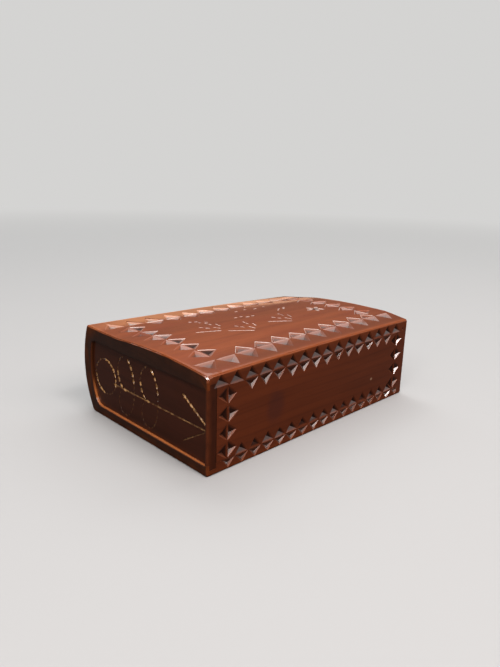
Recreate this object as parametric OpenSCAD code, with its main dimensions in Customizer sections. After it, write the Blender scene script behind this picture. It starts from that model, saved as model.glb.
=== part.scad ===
// Book-shaped trinket box with a sliding end, joined from boards and chip-carved along its borders.
// Frame: +X along the length, towards the fixed end; the sliding end is at -X. The fore-edge faces
// -Y and the rounded spine +Y. +Z is up. The origin is at the middle of the footprint, on the table.

/* [Book] */
// Overall length, end to end
box_l = 120; // [100:1:160]
// Overall width, from the fore-edge to the fullest point of the spine
box_w = 81; // [72:1:110]
// Height at the edges of the top cover
edge_h = 36.6; // [33:0.1:50]
// Rise of the crowned top above its edges
crown_h = 2; // [1:0.1:4]
// Radius of the rounded back of the spine
spine_r = 38.7; // [36:0.1:60]
// Height of the fullest point of the spine
spine_z = 20.5; // [17:0.1:23]

/* [Boards] */
// Thickness of the top cover at its edges
top_t = 5.3; // [4.5:0.1:7]
// Thickness of the bottom cover
bottom_t = 4.2; // [3.6:0.1:6]
// Thickness of the fore-edge wall
fore_t = 5.5; // [4:0.1:8]
// Thickness of the spine's wall at its hollow
spine_t = 5.7; // [4.5:0.1:8]
// Distance from the top's back edge to the glue line between the covers and the spine
spine_seam = 11; // [9.5:0.1:14]
// Radius of the hollow's corner above the bottom cover
low_cove_r = 5; // [3.5:0.1:6]
// Radius of the hollow's corner under the top cover
high_cove_r = 2.2; // [1.6:0.1:3]

/* [Joints between boards] */
// Thickness of the tongues that key the boards together
tongue_t = 1.6; // [1:0.1:2]
// How far a tongue enters its groove
tongue_d = 1.5; // [0.8:0.1:1.8]
// Solid wood left between a stopped tongue and the groove of an end panel
tongue_stop = 3; // [1:0.5:10]

/* [End panels] */
// Thickness of the sliding end and of the fixed end
panel_t = 2.8; // [2:0.1:4]
// Depth of an end panel's face behind the ends of the boards
panel_recess = 1.2; // [0.8:0.1:2.5]
// Depth of the grooves that hold the end panels
groove_d = 1.9; // [1.2:0.1:2.2]
// Width of the raised lip along the fore-edge of an end panel
lip_w = 1.4; // [1:0.1:3]
// Clearance on each side of the sliding end in its grooves
slide_gap = 0.15; // [0.1:0.05:0.3]

/* [Incised arrow] */
// Width of an incised line
line_w = 0.8; // [0.5:0.1:1.2]
// Depth of an incised line
line_d = 0.5; // [0.3:0.1:0.8]
// Radius of the ring at the arrow's tail
ring_r = 6.95; // [5:0.05:7.5]
// Half the width of a feather loop
loop_half_w = 5.3; // [4:0.1:5.6]
// Half the height of a feather loop
loop_half_h = 11.5; // [9:0.1:11.6]
// Length of an arrowhead's barb
barb_l = 13; // [8:0.5:16]

/* [Chip carving] */
// Depth of the chips in the fore-edge
edge_chip_d = 1.1; // [0.5:0.1:1.4]
// Depth of the chips in the top
top_chip_d = 1.2; // [0.5:0.1:1.5]
// Spacing of the chips along the fore-edge's upper border
upper_pitch = 7; // [6:0.1:9]
// Spacing of the chips along the fore-edge's lower border
lower_pitch = 6.6; // [6:0.1:9]
// Spacing of the chips along the fore-edge's two upright borders
upright_pitch = 6.5; // [5.5:0.1:9]
// Spacing of the chips along the top's long borders
top_pitch = 9.6; // [8:0.1:12]
// Spacing of the chips along the top's short borders
short_pitch = 8.7; // [8:0.1:12]
// Flat ridge left between two chips
ridge = 0.3; // [0.2:0.1:0.6]

/* [Hidden] */

eps = 0.01; // overshoot of a cut past a face
curve_fn = 160; // fineness of the large curves
line_fn = 64; // fineness of the incised curves
arc_steps = 10; // flats in a corner arc of the hollow

// Main planes
near_x = -box_l / 2; // the sliding end's side
far_x = box_l / 2;
fore_y = -box_w / 2;
crest_y = box_w / 2; // fullest point of the spine
ceiling_z = edge_h - top_t; // underside of the top cover
floor_z = bottom_t; // upper face of the bottom cover

// Rounded back of the spine, and where it meets the top
spine_y = crest_y - spine_r;
function on_circle(r, z) = spine_y + sqrt(r * r - (z - spine_z) * (z - spine_z));
back_y = on_circle(spine_r, edge_h); // back edge of the top
seam_y = back_y - spine_seam; // glue line of the spine
hollow_r = spine_r - spine_t; // back of the hollow, one wall inside the spine

// Crowned top: one shallow arc from the fore-edge to the back edge
crown_half = (back_y - fore_y) / 2;
crown_y = (back_y + fore_y) / 2;
crown_r = (crown_half * crown_half + crown_h * crown_h) / (2 * crown_h);
function crown_z(y) = edge_h + crown_h - crown_r + sqrt(crown_r * crown_r - (y - crown_y) * (y - crown_y));
function crown_tilt(y) = asin((y - crown_y) / crown_r);

// End panels: where the panel's faces lie, measured inwards from the end of the box
groove_x = panel_recess; // outer face of the panel
inner_x = panel_recess + panel_t; // inner face of the panel

// Hollow's outline, which the end panels and their grooves follow at a distance "out" outside it
low_arc_z = floor_z + low_cove_r;
low_arc_y = on_circle(hollow_r - low_cove_r, low_arc_z);
high_arc_z = ceiling_z - high_cove_r;
high_arc_y = on_circle(hollow_r - high_cove_r, high_arc_z);
function arc(cy, cz, r, from, to) =
    [for (i = [0:arc_steps]) let (a = from + (to - from) * i / arc_steps) [cy + r * cos(a), cz + r * sin(a)]];
low_turn = atan2(low_arc_z - spine_z, low_arc_y - spine_y);
high_turn = atan2(high_arc_z - spine_z, high_arc_y - spine_y);
function outline(out, fore) = concat(
    [[fore, ceiling_z + out], [fore, floor_z - out]],
    arc(low_arc_y, low_arc_z, low_cove_r + out, -90, low_turn),
    arc(spine_y, spine_z, hollow_r + out, low_turn, high_turn),
    arc(high_arc_y, high_arc_z, high_cove_r + out, high_turn, 90)
);

// Tongues of the fore-edge wall and of the covers, which stop short of the end grooves
wall_y = fore_y + fore_t; // inner face of the fore-edge wall
tongue_y = fore_y + fore_t / 2 - tongue_t / 2;
tongue_x = box_l / 2 - inner_x - tongue_stop; // half the length of a stopped tongue
top_tongue_z = ceiling_z + top_t / 2 - tongue_t / 2;
low_tongue_z = bottom_t / 2 - tongue_t / 2;

// Colours
cherry = [0.52, 0.20, 0.08];
dark_cherry = [0.34, 0.13, 0.07];
end_grain = [0.20, 0.09, 0.06];

// A block between two corners
module block(low, high) {
    translate(low) cube(high - low);
}

// A profile in Y and Z, given as points, drawn along X between two planes
module along_x(from, to, points) {
    translate([from, 0, 0]) rotate([90, 0, 90]) linear_extrude(to - from) polygon(points);
}

// The round bar whose side is the back of the spine
module spine_bar() {
    translate([near_x, spine_y, spine_z]) rotate([0, 90, 0]) cylinder(h = box_l, r = spine_r, $fn = curve_fn);
}

// The round bar whose side is the crowned top
module crown_bar() {
    translate([near_x, crown_y, edge_h + crown_h - crown_r]) rotate([0, 90, 0])
        cylinder(h = box_l, r = crown_r, $fn = 2 * curve_fn);
}

// A three-sided chip: its rim is a triangle of the given width and height that points along +Y,
// with the deepest point near its middle. The cutter goes on a little past the surface at z = 0.
deep_share = 0.42; // how far up the triangle the deepest point lies
chip_over = 0.2; // how far the cutter stands above the surface
module chip(w, h, d) {
    deep = [0, deep_share * h, -d];
    rim = [[-w / 2, 0, 0], [w / 2, 0, 0], [0, h, 0]];
    raised = [for (p = rim) deep + (p - deep) * (1 + chip_over / d)];
    polyhedron(points = concat(raised, [deep]), faces = [[0, 2, 1], [0, 1, 3], [1, 2, 3], [2, 0, 3]]);
}

// Number of chips that a run holds at about the given spacing
function chips_in(run, pitch) = 1 + round(run / pitch);

// Fore-edge border: ends of its runs, from the near end. Its long ridges run along the glue lines.
upper_from = 6.2;
upper_to = box_l - 9.2;
lower_from = 9.5;
lower_to = box_l - 5.5;
upright_near = 9.3;
upright_far = box_l - 8.2;
edge_margin = 0.6; // wood left between a chip's point and the board's edge
edge_chip_h = 4.2; // height of the chips that point into the wall
upright_h = 4.4; // height of the chips in the upright borders
upper_n = chips_in(upper_to - upper_from, upper_pitch);
upper_step = (upper_to - upper_from) / (upper_n - 1);
lower_n = chips_in(lower_to - lower_from, lower_pitch);
lower_step = (lower_to - lower_from) / (lower_n - 1);
upright_run = ceiling_z - floor_z - 2 * (ridge + upright_pitch / 2);
upright_n = chips_in(upright_run, upright_pitch);
upright_step = upright_run / (upright_n - 1);

// Puts a chip on the fore-edge at a distance s from the near end and height z, turned to point
// up (0), left (90), down (180) or right (270)
module on_fore_edge(s, z, turn, w, h) {
    translate([near_x + s, fore_y, z]) rotate([90, 0, 0]) rotate([0, 0, turn]) chip(w, h, edge_chip_d);
}

module upper_outer_chips() {
    h = top_t - ridge / 2 - edge_margin;
    for (i = [0:upper_n - 1])
        on_fore_edge(upper_from + i * upper_step, ceiling_z + ridge / 2, 0, upper_step - ridge, h);
}

module upper_inner_chips() {
    for (i = [2:upper_n - 2])
        on_fore_edge(upper_from + i * upper_step, ceiling_z - ridge / 2, 180, upper_step - ridge, edge_chip_h);
}

module lower_outer_chips() {
    h = bottom_t - ridge / 2 - edge_margin;
    for (i = [0:lower_n - 1])
        on_fore_edge(lower_from + i * lower_step, floor_z - ridge / 2, 180, lower_step - ridge, h);
}

module lower_inner_chips() {
    for (i = [1:lower_n - 2])
        on_fore_edge(lower_from + i * lower_step, floor_z + ridge / 2, 0, lower_step - ridge, edge_chip_h);
}

module upright_chips() {
    for (i = [0:upright_n - 1], s = [upright_near, upright_far]) {
        z = floor_z + ridge + upright_pitch / 2 + i * upright_step;
        on_fore_edge(s - ridge / 2, z, 90, upright_step - ridge, upright_h);
        on_fore_edge(s + ridge / 2, z, 270, upright_step - ridge, upright_h);
    }
}

// Top border
top_from = 7;
top_to = box_l - 7.4;
top_chip_h = 6; // height of the chips that point inwards
top_out_h = 6.8; // height of the chips that point to an edge
fore_base_y = fore_y + 10.2; // ridge of the border along the fore-edge
short_near = 12; // ridges of the two short borders, from the near end
short_far = box_l - 12;
top_n = chips_in(top_to - top_from, top_pitch);
top_step = (top_to - top_from) / (top_n - 1);
short_from = fore_base_y + 6.8;
short_to = seam_y - 6;
short_n = chips_in(short_to - short_from, short_pitch);
short_step = (short_to - short_from) / (short_n - 1);

// Puts a chip on the crowned top at a distance s from the near end and at y, turned to point
// to the back (0), the near end (90), the fore-edge (180) or the far end (270)
module on_top(s, y, turn, w, h) {
    translate([near_x + s, y, crown_z(y)]) rotate([-crown_tilt(y), 0, 0]) rotate([0, 0, turn])
        chip(w, h, top_chip_d);
}

module top_chips() {
    w = top_step - ridge;
    for (i = [0:top_n - 1])
        on_top(top_from + i * top_step, fore_base_y - ridge / 2, 180, w, top_out_h);
    for (i = [2:top_n - 2]) {
        on_top(top_from + i * top_step, fore_base_y + ridge / 2, 0, w, top_chip_h);
        on_top(top_from + i * top_step, seam_y - ridge / 2, 180, w, top_chip_h);
    }
    for (j = [0:short_n - 1], s = [short_near, short_far]) {
        y = short_from + j * short_step;
        on_top(s - ridge / 2, y, 90, short_step - ridge, top_out_h);
        on_top(s + ridge / 2, y, 270, short_step - ridge, top_chip_h);
    }
}

module spine_chips() {
    for (i = [0:top_n - 1])
        on_top(top_from + i * top_step, seam_y + ridge / 2, 0, top_step - ridge, top_out_h);
}

// The grooves that hold the two end panels: loose round the sliding end, close round the fixed end
module end_grooves() {
    along_x(near_x + groove_x - slide_gap, near_x + inner_x + slide_gap, outline(groove_d + slide_gap, fore_y - 1));
    along_x(far_x - inner_x, far_x - groove_x, outline(groove_d, fore_y - 1));
}

// The hollow of the box, open at both ends
module hollow() {
    along_x(near_x - 1, far_x + 1, outline(0, fore_y - 1));
}

module top_cover() color(cherry) difference() {
    intersection() {
        union() {
            block([near_x, fore_y, ceiling_z], [far_x, seam_y, edge_h + crown_h]);
            block([-tongue_x, seam_y - eps, top_tongue_z], [tongue_x, seam_y + tongue_d, top_tongue_z + tongue_t]);
        }
        crown_bar();
    }
    end_grooves();
    block([-tongue_x, tongue_y, ceiling_z - eps], [tongue_x, tongue_y + tongue_t, ceiling_z + tongue_d]);
    upper_outer_chips();
    top_chips();
}

module bottom_cover() color(dark_cherry) difference() {
    union() {
        block([near_x, fore_y, 0], [far_x, seam_y, floor_z]);
        block([-tongue_x, seam_y - eps, low_tongue_z], [tongue_x, seam_y + tongue_d, low_tongue_z + tongue_t]);
    }
    end_grooves();
    block([-tongue_x, tongue_y, floor_z - tongue_d], [tongue_x, tongue_y + tongue_t, floor_z + eps]);
    lower_outer_chips();
}

module spine() color(dark_cherry) difference() {
    intersection() {
        block([near_x, seam_y, 0], [far_x, crest_y, edge_h + crown_h]);
        spine_bar();
        crown_bar();
    }
    hollow();
    end_grooves();
    for (z = [low_tongue_z, top_tongue_z])
        block([-tongue_x, seam_y - eps, z], [tongue_x, seam_y + tongue_d, z + tongue_t]);
    spine_chips();
}

module fore_edge() color(cherry) difference() {
    union() {
        block([near_x + inner_x + slide_gap, fore_y, floor_z], [far_x - inner_x, wall_y, ceiling_z]);
        block([-tongue_x, tongue_y, floor_z - tongue_d], [tongue_x, tongue_y + tongue_t, ceiling_z + tongue_d]);
    }
    upper_inner_chips();
    lower_inner_chips();
    upright_chips();
}

// An end panel and the lip that stands up along its fore-edge, drawn at the near end
module end_panel(gap) {
    along_x(near_x + groove_x, near_x + inner_x, outline(groove_d - gap, fore_y));
    block([near_x, fore_y, floor_z + gap], [near_x + groove_x + eps, fore_y + lip_w, ceiling_z - gap]);
}

module fixed_end() color(end_grain) mirror([1, 0, 0]) end_panel(0);

// The arrow is cut into the sliding end's face: its tail ring lies by the spine and it points to
// the fore-edge, the way the end slides
middle_z = (floor_z + ceiling_z) / 2; // height of the ring and of the loops
shaft_z = middle_z - 1.5;
ring_y = low_arc_y - 1.4;
tip_y = fore_y + lip_w + 1.2;
loop_pitch = 15.7;
loop_r = (loop_half_w * loop_half_w + loop_half_h * loop_half_h) / (2 * loop_half_w);
barb_tilt = 31;
barb_rise = 2.2; // how far the upper barb starts above the shaft

module ring_cut(r) {
    rotate([0, 90, 0]) difference() {
        cylinder(h = line_d + eps, r = r + line_w / 2, $fn = line_fn);
        translate([0, 0, -eps]) cylinder(h = line_d + 3 * eps, r = r - line_w / 2, $fn = line_fn);
    }
}

// Two arcs that meet at their ends, as a curved gouge leaves them
module feather_loop() {
    for (side = [-1, 1]) intersection() {
        translate([0, side * (loop_half_w - loop_r), 0]) ring_cut(loop_r);
        translate([-eps, side > 0 ? 0 : -loop_half_w - line_w, -loop_half_h])
            cube([line_d + 3 * eps, loop_half_w + line_w, 2 * loop_half_h]);
    }
}

module arrow_line(y, z, length, tilt) {
    translate([0, y, z]) rotate([tilt, 0, 0]) translate([0, 0, -line_w / 2]) cube([line_d + eps, length, line_w]);
}

module arrow() {
    translate([near_x + groove_x - eps, 0, 0]) {
        translate([0, ring_y, middle_z]) ring_cut(ring_r);
        for (i = [1:2]) translate([0, ring_y - i * loop_pitch, middle_z]) feather_loop();
        arrow_line(tip_y, shaft_z, ring_y - ring_r - tip_y, 0);
        arrow_line(tip_y, shaft_z + barb_rise, barb_l, barb_tilt);
        arrow_line(tip_y, shaft_z, barb_l, -barb_tilt);
    }
}

module sliding_end() color(end_grain) difference() {
    end_panel(slide_gap);
    arrow();
}

top_cover();
bottom_cover();
spine();
fore_edge();
fixed_end();
sliding_end();
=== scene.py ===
"""A chip-carved book box: its worn outer body is shaped and carved as one, then sawn into its boards."""

import itertools
import math

import bmesh
import bpy
import numpy as np
from mathutils import Matrix, Vector, noise
from mathutils.bvhtree import BVHTree


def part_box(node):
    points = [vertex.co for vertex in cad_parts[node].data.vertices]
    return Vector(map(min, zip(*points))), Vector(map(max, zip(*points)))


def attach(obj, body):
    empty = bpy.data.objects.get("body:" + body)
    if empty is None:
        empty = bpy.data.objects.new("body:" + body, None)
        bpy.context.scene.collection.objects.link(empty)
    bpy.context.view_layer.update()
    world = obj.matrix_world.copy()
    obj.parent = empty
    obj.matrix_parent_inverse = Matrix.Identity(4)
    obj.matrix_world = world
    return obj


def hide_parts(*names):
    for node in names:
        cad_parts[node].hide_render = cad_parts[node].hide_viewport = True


bl_info = {
    "name": "Book Box",
    "version": (1, 0, 0),
    "blender": (4, 5, 0),
    "location": "3D View > Sidebar > Book Box",
    "description": "Makes a chip-carved wooden book box with a sliding end",
    "category": "Add Mesh",
}

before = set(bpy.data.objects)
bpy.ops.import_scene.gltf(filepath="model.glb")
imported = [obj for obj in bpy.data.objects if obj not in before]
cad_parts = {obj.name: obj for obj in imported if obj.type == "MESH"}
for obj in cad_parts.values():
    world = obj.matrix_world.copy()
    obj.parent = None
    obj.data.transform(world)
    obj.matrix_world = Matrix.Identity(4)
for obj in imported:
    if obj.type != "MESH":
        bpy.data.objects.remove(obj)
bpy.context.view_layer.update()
MM = 0.001

# Places that the joined boards give, in metres
TOP_LOW, TOP_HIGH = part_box("top_cover")
FLOOR_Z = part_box("bottom_cover")[1].z
SPINE_LOW, SPINE_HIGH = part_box("spine")
WALL_LOW, WALL_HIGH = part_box("fore_edge")
SLIDE_LOW, SLIDE_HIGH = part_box("sliding_end")
NEAR_X, FAR_X = TOP_LOW.x, TOP_HIGH.x
FORE_Y, CREST_Y = TOP_LOW.y, SPINE_HIGH.y
CEILING_Z, CROWN_Z = TOP_LOW.z, TOP_HIGH.z
SEAM_Y = SPINE_LOW.y
PANEL_BACK = SLIDE_HIGH.x - NEAR_X  # from the end of the box to an end panel's inner face
GROOVE_DEPTH = FLOOR_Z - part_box("fixed_end")[0].z


# ---------------------------------------------------------------- sizes and colours


def length_of(name, description, default):
    """A length that a user can change. Its default is given in millimetres."""
    return bpy.props.FloatProperty(name=name, description=description, default=default * MM, unit="LENGTH")


def colour_of(name, description, default):
    """A colour that a user can change."""
    return bpy.props.FloatVectorProperty(name=name, description=description, default=default, subtype="COLOR")


class BookBoxShape(bpy.types.PropertyGroup):
    crown: length_of("Crown", "Rise of the top's middle above its edges", 2)
    end_sag: length_of("End sag", "How much lower the top is at its two ends", 0.45)
    spine_radius: length_of("Spine radius", "Radius of the rounded back", 38.7)
    spine_height: length_of("Spine height", "Height of the back's fullest point", 20.5)
    spine_wall: length_of("Spine wall", "Wood left behind the hollow", 5.7)
    low_cove: length_of("Low cove", "Radius of the hollow's lower back corner", 5)
    high_cove: length_of("High cove", "Radius of the hollow's upper back corner", 2.2)
    panel_recess: length_of("Panel recess", "Depth of an end panel's face", 1.2)
    lip_width: length_of("Lip width", "Width of the raised lip of an end panel", 1.4)
    worn_edge: length_of("Worn edge", "Radius of the long outer edges", 1.0)
    worn_end: length_of("Worn end", "Radius of the edges round the two ends", 0.8)
    corner_nick: length_of("Corner nick", "Depth of the knock on the near top corner", 1.5)
    unevenness: length_of("Unevenness", "How far the planed faces wander", 0.12)


class BookBoxCarving(bpy.types.PropertyGroup):
    edge_depth: length_of("Fore-edge chips", "Depth of the chips in the fore-edge", 1.15)
    top_depth: length_of("Top chips", "Depth of the chips in the top", 1.15)
    slip: length_of("Slip", "How far a chip may lie off its row", 0.16)
    ridge: length_of("Ridge", "Wood left between two chips", 0.2)


class BookBoxFinish(bpy.types.PropertyGroup):
    # Top and sides: partly the wood's own tones, partly painted light on upward faces and painted shade on
    # upright ones
    top_tone: colour_of("Top", "Tone of the upward faces", (0.345, 0.090, 0.031))
    side_tone: colour_of("Sides", "Tone of the upright faces", (0.122, 0.025, 0.0065))
    end_tone: colour_of("Ends", "Tone of the end grain", (0.036, 0.014, 0.008))
    panel_tone: colour_of("End panels", "Tone of the two end panels", (0.062, 0.015, 0.006))
    cut_tone: colour_of("Top cuts", "Tone in the cuts of the top", (0.10, 0.068, 0.058))
    # Painted highlight on the rims of the top's chips and in its sprays
    rim_highlight_tone: colour_of("Painted rim highlights", "Tone of the rims of the chips", (0.80, 0.68, 0.62))
    # Painted light on the ledges round the end panels
    lit_ledge_tone: colour_of("Painted lit ledges", "Tone round the end panels", (0.62, 0.20, 0.055))
    red_tone: colour_of("Reddened patches", "Tone of the top's patches", (0.26, 0.052, 0.024))
    margin_tone: colour_of("Rubbed margins", "Tone of the top's margins", (0.31, 0.078, 0.021))
    # Painted highlight: a pale band on the top along the spine
    back_highlight_tone: colour_of("Painted back highlight", "Tone of the top along the spine", (0.72, 0.30, 0.13))
    raw_tone: colour_of("Raw wood", "Tone inside the box", (0.270, 0.120, 0.055))


def shape():
    return bpy.context.scene.book_box_shape


def carving():
    return bpy.context.scene.book_box_carving


def finish_tones():
    return bpy.context.scene.book_box_finish


# ---------------------------------------------------------------- outlines in Y and Z


def arc(centre, radius, start, end, steps):
    """Points and outward normals along an arc, both ends included. Angles are in radians."""
    turns = np.linspace(start, end, steps + 1)
    normals = np.stack([np.cos(turns), np.sin(turns)], 1)
    return centre + radius * normals, normals


def line(start, end, normal, steps):
    """Points and normals between two places, neither end included."""
    share = np.linspace(0, 1, steps + 1)[1:-1, None]
    points = np.array(start) * (1 - share) + np.array(end) * share
    return points, np.tile(normal, (len(points), 1))


def angle_of(vector):
    return math.atan2(vector[1], vector[0])


def inner_tangent(centre_a, reach_a, centre_b, reach_b):
    """The point with the greater Y that lies at two distances from two centres."""
    apart = centre_b - centre_a
    gap = np.linalg.norm(apart)
    along = (reach_a**2 - reach_b**2 + gap**2) / (2 * gap)
    across = math.sqrt(reach_a**2 - along**2)
    unit = apart / gap
    sides = [centre_a + along * unit + s * across * np.array([-unit[1], unit[0]]) for s in (-1, 1)]
    return max(sides, key=lambda p: p[0])


class BookProfile:
    """The closed book seen from its end: spine and crown circles, and the corners worn round between them."""

    LOW_BACK_WEAR = 2.6  # wear of the two back corners, in worn-edge radii
    HIGH_BACK_WEAR = 1.3

    def __init__(self, s):
        self.worn = s.worn_edge
        self.spine = np.array([CREST_Y - s.spine_radius, s.spine_height])
        self.spine_radius = s.spine_radius
        edge_z = CROWN_Z - s.crown
        self.edge_z = edge_z
        back_y = self.spine[0] + math.sqrt(s.spine_radius**2 - (edge_z - s.spine_height) ** 2)
        self.back_y = back_y
        half = (back_y - FORE_Y) / 2
        self.crown_radius = (half**2 + s.crown**2) / (2 * s.crown)
        self.crown = np.array([(back_y + FORE_Y) / 2, CROWN_Z - self.crown_radius])

    def top_at(self, y):
        return self.crown[1] + math.sqrt(self.crown_radius**2 - (y - self.crown[0]) ** 2)

    def loop(self):
        """Points and outward normals from the fore-edge's foot, anticlockwise with Y right and Z up."""
        r = self.worn
        low_back = r * self.LOW_BACK_WEAR
        high_back = r * self.HIGH_BACK_WEAR
        foot = np.array([FORE_Y + r, r])
        reach = self.spine_radius - low_back
        heel_y = self.spine[0] + math.sqrt(reach**2 - (low_back - self.spine[1]) ** 2)
        heel = np.array([heel_y, low_back])
        heel_turn = angle_of(heel - self.spine)
        shoulder = inner_tangent(
            self.spine, self.spine_radius - high_back, self.crown, self.crown_radius - high_back
        )
        spine_turn = angle_of(shoulder - self.spine)
        crown_turn = angle_of(shoulder - self.crown)
        brow_y = FORE_Y + r
        brow_z = self.crown[1] + math.sqrt((self.crown_radius - r) ** 2 - (brow_y - self.crown[0]) ** 2)
        brow = np.array([brow_y, brow_z])
        brow_turn = angle_of(brow - self.crown)
        corner, wide = 8, 26
        parts = [
            arc(foot, r, -math.pi, -math.pi / 2, corner),
            line((foot[0], 0), (heel[0], 0), (0, -1), 36),
            arc(heel, low_back, -math.pi / 2, heel_turn, corner),
            arc(self.spine, self.spine_radius, heel_turn, spine_turn, wide),
            arc(shoulder, high_back, spine_turn, crown_turn, corner),
            arc(self.crown, self.crown_radius, crown_turn, brow_turn, 60),
            arc(brow, r, brow_turn, math.pi, corner),
            line((FORE_Y, brow_z), (FORE_Y, r), (-1, 0), wide),
        ]
        points = np.concatenate([p for p, _ in parts])
        normals = np.concatenate([n for _, n in parts])
        keep = np.linalg.norm(points - np.roll(points, 1, 0), axis=1) > 0.01 * MM
        return points[keep], normals[keep]


def hollow_outline(out, fore_y):
    """The hollow's outline seen from the end, "out" outside itself, and open to fore_y."""
    s = shape()
    spine = np.array([CREST_Y - s.spine_radius, s.spine_height])
    back = s.spine_radius - s.spine_wall

    def cove(radius, z):
        reach = back - radius
        return np.array([spine[0] + math.sqrt(reach**2 - (z - spine[1]) ** 2), z])

    low = cove(s.low_cove, FLOOR_Z + s.low_cove)
    high = cove(s.high_cove, CEILING_Z - s.high_cove)
    low_turn, high_turn = angle_of(low - spine), angle_of(high - spine)
    parts = [
        np.array([[fore_y, CEILING_Z + out], [fore_y, FLOOR_Z - out]]),
        arc(low, s.low_cove + out, -math.pi / 2, low_turn, 12)[0],
        arc(spine, back + out, low_turn, high_turn, 24)[0][1:-1],
        arc(high, s.high_cove + out, high_turn, math.pi / 2, 8)[0],
    ]
    return np.concatenate(parts)


# ---------------------------------------------------------------- mesh helpers


def new_object(name, mesh):
    piece = bpy.data.objects.new(name, mesh)
    bpy.context.scene.collection.objects.link(piece)
    return piece


def mesh_from(name, points, faces):
    mesh = bpy.data.meshes.new(name)
    mesh.from_pydata([tuple(p) for p in points], [], faces)
    mesh.validate()
    return mesh


def skin(name, rings):
    """A closed solid through rings of points, with as many points in each."""
    count = len(rings[0])
    faces = [tuple(range(count))]
    for k in range(len(rings) - 1):
        for i in range(count):
            j = (i + 1) % count
            faces.append((k * count + i, (k + 1) * count + i, (k + 1) * count + j, k * count + j))
    last = (len(rings) - 1) * count
    faces.append(tuple(reversed(range(last, last + count))))
    return solid(name, [p for ring in rings for p in ring], faces)


def loft(name, stations):
    """A closed solid through outlines in Y and Z: stations are (x, points), with as many points in each."""
    return skin(name, [[(x, y, z) for y, z in outline] for x, outline in stations])


def face_outwards(mesh):
    b = bmesh.new()
    b.from_mesh(mesh)
    bmesh.ops.recalc_face_normals(b, faces=b.faces)
    b.to_mesh(mesh)
    b.free()


def solid(name, points, faces):
    mesh = mesh_from(name, points, faces)
    face_outwards(mesh)
    return new_object(name, mesh)


def block(name, low, high):
    corners = list(itertools.product(*zip(low, high)))
    faces = [(0, 1, 3, 2), (4, 6, 7, 5), (0, 4, 5, 1), (2, 3, 7, 6), (0, 2, 6, 4), (1, 5, 7, 3)]
    return solid(name, corners, faces)


def settle(piece):
    """Makes what the modifiers show the piece's own plain mesh, and removes the modifiers."""
    graph = bpy.context.evaluated_depsgraph_get()
    mesh = bpy.data.meshes.new_from_object(piece.evaluated_get(graph), depsgraph=graph)
    piece.modifiers.clear()
    old = piece.data
    piece.data = mesh
    mesh.name = piece.name
    bpy.data.meshes.remove(old)
    return piece


def cut(piece, operation, tool):
    """Cuts, keeps or joins with a tool solid, which is thrown away."""
    step = piece.modifiers.new("cut", "BOOLEAN")
    step.solver = "MANIFOLD"
    step.operation = operation
    step.object = tool
    settle(piece)
    scrap(tool)
    return piece


def scrap(piece):
    mesh = piece.data
    bpy.data.objects.remove(piece)
    bpy.data.meshes.remove(mesh)


def copy_of(piece, name):
    return new_object(name, piece.data.copy())


# ---------------------------------------------------------------- the worn outer body


NICK_FACING = Vector((-1, -1, 1.1)).normalized()
# How the old top has moved at each end, in mm, at shares of the way from the fore-edge to the spine
WARP_AT = (0.0, 0.15, 0.3, 0.5, 0.7, 0.85, 1.0)
NEAR_WARP = (0.0, 0.0, 0.0, -0.5, -1.0, -0.3, 1.1)
FAR_WARP = (0.0, 0.8, 0.3, -0.2, -0.8, -1.9, -2.5)
# How far apart the rises of the planed faces and of the knocked edges lie
LONG_WAVE, SHORT_WAVE, KNOCK_WAVE = 34 * MM, 11 * MM, 5 * MM
KNOCK_PLACE = Vector((7, 3, 1))
KNOCK_DEPTH = 0.9 * MM
FLAT_FOOT = 2 * MM  # below this height the wear fades out, so that the box stands flat
BODY_SLICES = 81
END_SLICES = 7


def top_warp(x, y, back_y):
    """How far the top stands off its even crown: flat at the near end, low-shouldered at the far end."""
    share = (y - FORE_Y) / (back_y - FORE_Y)
    far = (x - NEAR_X) / (FAR_X - NEAR_X)
    near_rise, far_rise = (float(np.interp(share, WARP_AT, rises)) for rises in (NEAR_WARP, FAR_WARP))
    return (near_rise * (1 - far) + far_rise * far) * MM


def slices(r):
    """Slices from end to end: x, how far the outline draws in, and how far it faces along X."""
    turns = np.linspace(0, math.pi / 2, END_SLICES)
    ring = [(math.sin(t), math.cos(t)) for t in turns]
    near = [(NEAR_X + r * (1 - lean), r * (1 - level), -lean) for lean, level in reversed(ring)]
    body = [(x, 0.0, 0.0) for x in np.linspace(NEAR_X + r, FAR_X - r, BODY_SLICES)[1:-1]]
    far = [(FAR_X - r * (1 - lean), r * (1 - level), lean) for lean, level in ring]
    return near + body + far


def worn_away(s, p, n):
    """How far the wood is worn in at a place that faces along n: a little on faces, more on edges."""
    flatness = max(abs(n.x), abs(n.z), n.yz.length if p.y > SEAM_Y else abs(n.y))
    edge = max(0.0, 1 - flatness)
    rest = min(p.z / FLAT_FOOT, 1)
    slow = noise.noise(p / LONG_WAVE) + 0.35 * noise.noise(p / SHORT_WAVE)
    knock = 0.5 + 0.5 * noise.noise(p / KNOCK_WAVE + KNOCK_PLACE)
    return max(rest * s.unevenness * (0.8 + 0.6 * slow) + edge * knock * KNOCK_DEPTH * (0.3 + 0.7 * rest), 0)


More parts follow.
